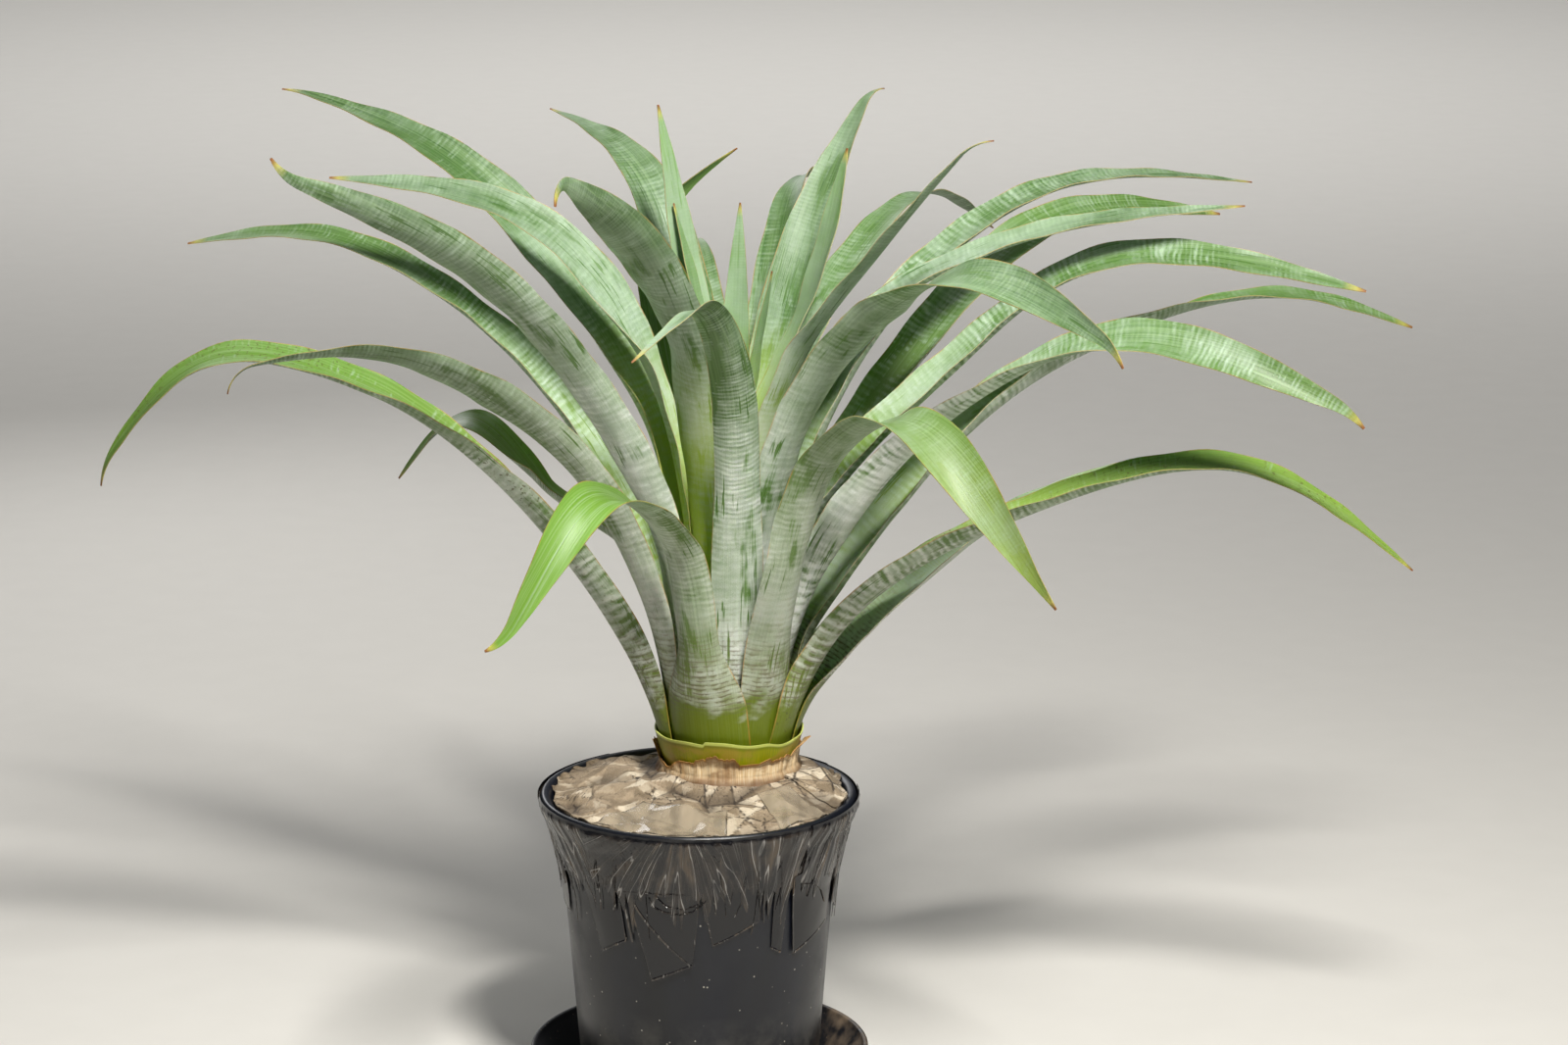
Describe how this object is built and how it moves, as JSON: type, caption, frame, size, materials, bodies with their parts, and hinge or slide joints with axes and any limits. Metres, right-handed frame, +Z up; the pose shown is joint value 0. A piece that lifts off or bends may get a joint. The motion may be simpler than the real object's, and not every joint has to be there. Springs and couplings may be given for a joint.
{
  "type": "potted alcantarea odorata",
  "caption": "Open rosette of long channelled grey-green strap leaves on a short stem, in a tapered round nursery pot with a paper-covered top and a shallow saucer.",
  "frame": {"origin": "centre of the saucer's underside, where the object rests", "axes": "+Z up, -Y toward the front that the picture shows, +X to the right of that view"},
  "size_m": [0.8397, 0.5505, 0.6221],
  "materials": {
    "leaf_mature": "living leaf with a powdery grey-white bloom over green",
    "leaf_old": "older living leaf, green freckled through a worn grey bloom",
    "leaf_heart": "young living leaf, pale lime under a fine bloom",
    "stem_tissue": "fibrous stem",
    "sheath_green": "smooth waxy green sheath with a cut edge",
    "sheath_dry": "dry papery torn sheath",
    "kraft_paper": "crumpled unbleached kraft paper",
    "clear_tape": "clear glossy film, creased",
    "potting_soil": "dark crumbly potting mix",
    "pot_plastic": "satin black moulded plastic",
    "saucer_plastic": "satin black moulded plastic"
  },
  "bodies": {
    "root": {"saucer": "saucer_plastic", "pot": "pot_plastic", "soil": "potting_soil", "stem": "stem_tissue", "sheath_green": "sheath_green", "sheath_dry": "sheath_dry", "paper_1": "kraft_paper", "paper_2": "kraft_paper", "paper_3": "kraft_paper", "tape_top_1": "clear_tape", "tape_top_2": "clear_tape", "tape_side_1": "clear_tape", "tape_side_2": "clear_tape", "tape_side_3": "clear_tape", "tape_side_4": "clear_tape", "tape_side_5": "clear_tape", "tape_side_6": "clear_tape", "tape_side_7": "clear_tape", "tape_side_8": "clear_tape", "leaf_left_5": "leaf_old", "leaf_right_2": "leaf_old", "leaf_back_5": "leaf_old", "leaf_front_1": "leaf_old", "leaf_back_8": "leaf_old", "leaf_right_1": "leaf_old", "leaf_front_2": "leaf_old", "leaf_left_6": "leaf_old", "leaf_back_4": "leaf_old", "leaf_right_4": "leaf_mature", "leaf_left_4": "leaf_mature", "leaf_front_3": "leaf_mature", "leaf_right_3": "leaf_mature", "leaf_back_3": "leaf_mature", "leaf_left_2": "leaf_mature", "leaf_right_8": "leaf_mature", "leaf_left_1": "leaf_mature", "leaf_right_5": "leaf_mature", "leaf_back_2": "leaf_mature", "leaf_right_6": "leaf_mature", "leaf_right_9": "leaf_mature", "leaf_left_3": "leaf_mature", "leaf_back_14": "leaf_mature", "leaf_back_1": "leaf_mature", "leaf_front_5": "leaf_mature", "leaf_right_7": "leaf_mature", "leaf_back_13": "leaf_mature", "leaf_right_10": "leaf_mature", "leaf_right_11": "leaf_mature", "leaf_heart_3": "leaf_heart", "leaf_right_12": "leaf_heart", "leaf_heart_4": "leaf_heart", "leaf_heart_1": "leaf_heart", "leaf_heart_2": "leaf_heart"}
  },
  "joints": []
}
